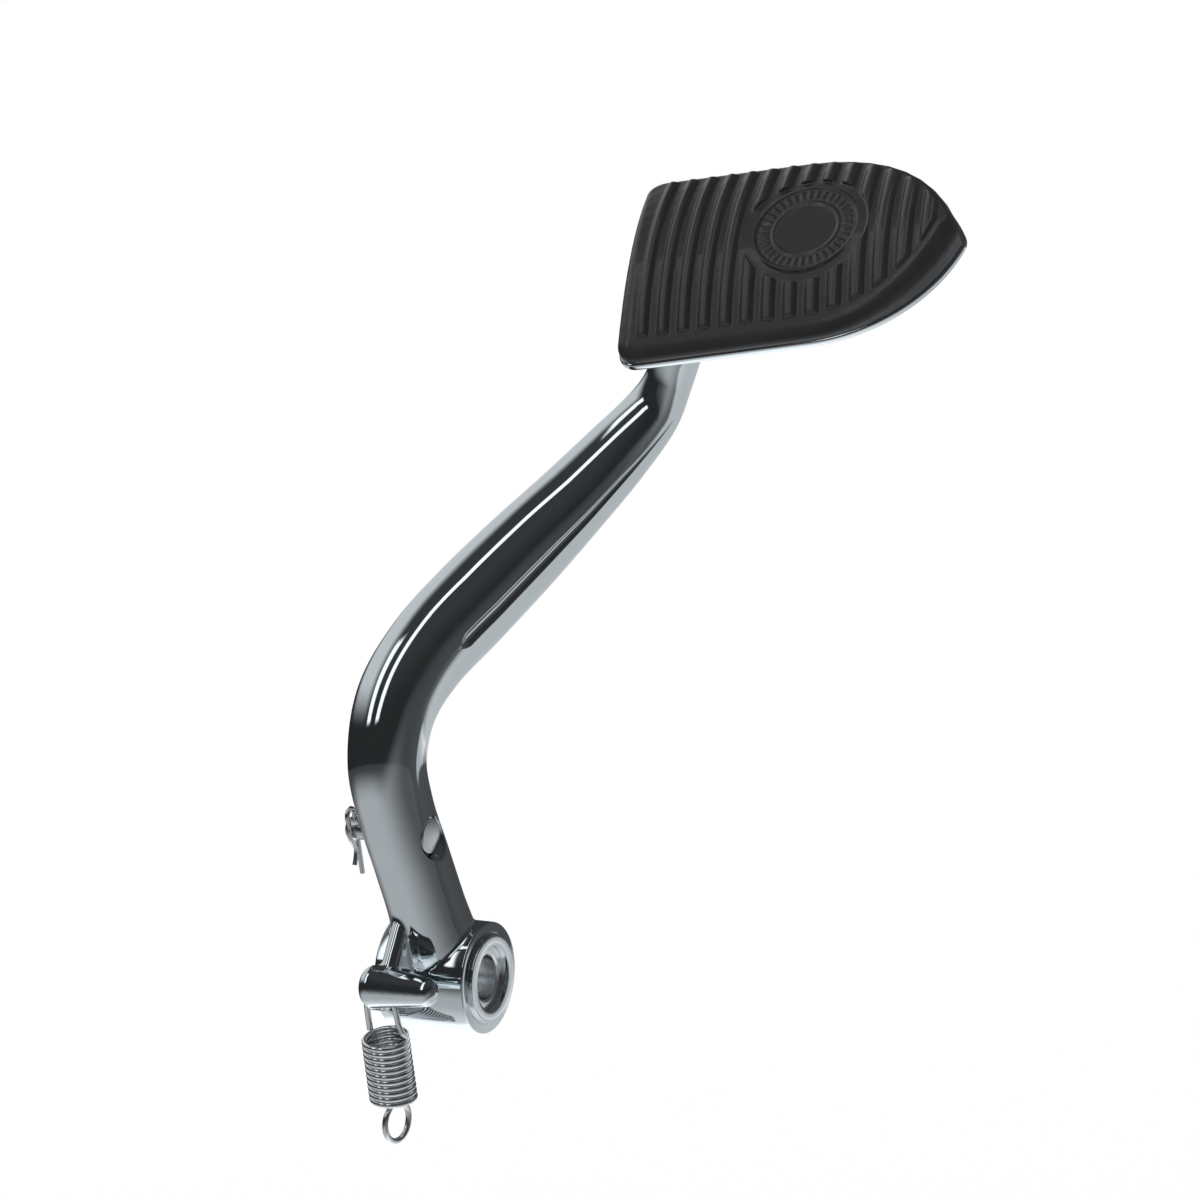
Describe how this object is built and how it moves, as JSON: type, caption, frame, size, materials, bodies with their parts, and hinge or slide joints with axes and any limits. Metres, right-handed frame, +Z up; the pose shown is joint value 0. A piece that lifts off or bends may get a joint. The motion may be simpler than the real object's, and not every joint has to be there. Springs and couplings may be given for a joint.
{
  "type": "rear brake pedal",
  "caption": "Right-hand rear brake pedal: a chromed arm on a bushed pivot hub, with a ribbed rubber foot pad, a rod pin with its clip and a return spring.",
  "frame": {"origin": "on the pivot's axis, halfway along the hub", "axes": "+X along the pivot, away from the motorbike; +Y forward; +Z up, along the lower arm and the hanging spring"},
  "size_m": [0.1274, 0.1906, 0.2167],
  "materials": {
    "chromed_forging": "polished chrome plate",
    "pad_rubber": "satin moulded rubber",
    "bush_steel": "turned",
    "plated_steel": "bright zinc plate",
    "spring_steel": "bright drawn wire"
  },
  "bodies": {
    "pedal": {"pedal_arm": "chromed_forging", "pedal_pad": "pad_rubber", "outer_bush": "bush_steel", "inner_bush": "bush_steel"},
    "rod_pin": {"rod_pin": "plated_steel", "hairpin_clip": "plated_steel"},
    "return_spring": {"return_spring": "spring_steel"}
  },
  "joints": [
    {"name": "rod_pin_turn", "type": "hinge", "parent": "pedal", "child": "rod_pin", "pos_m": [0, -0.0048, 0.0434], "axis": [1, 0, 0], "continuous": true},
    {"name": "spring_swing", "type": "hinge", "parent": "pedal", "child": "return_spring", "pos_m": [-0.0092, -0.0196, 0.0018], "axis": [1, 0, 0], "range_deg": [-65, 2]}
  ]
}
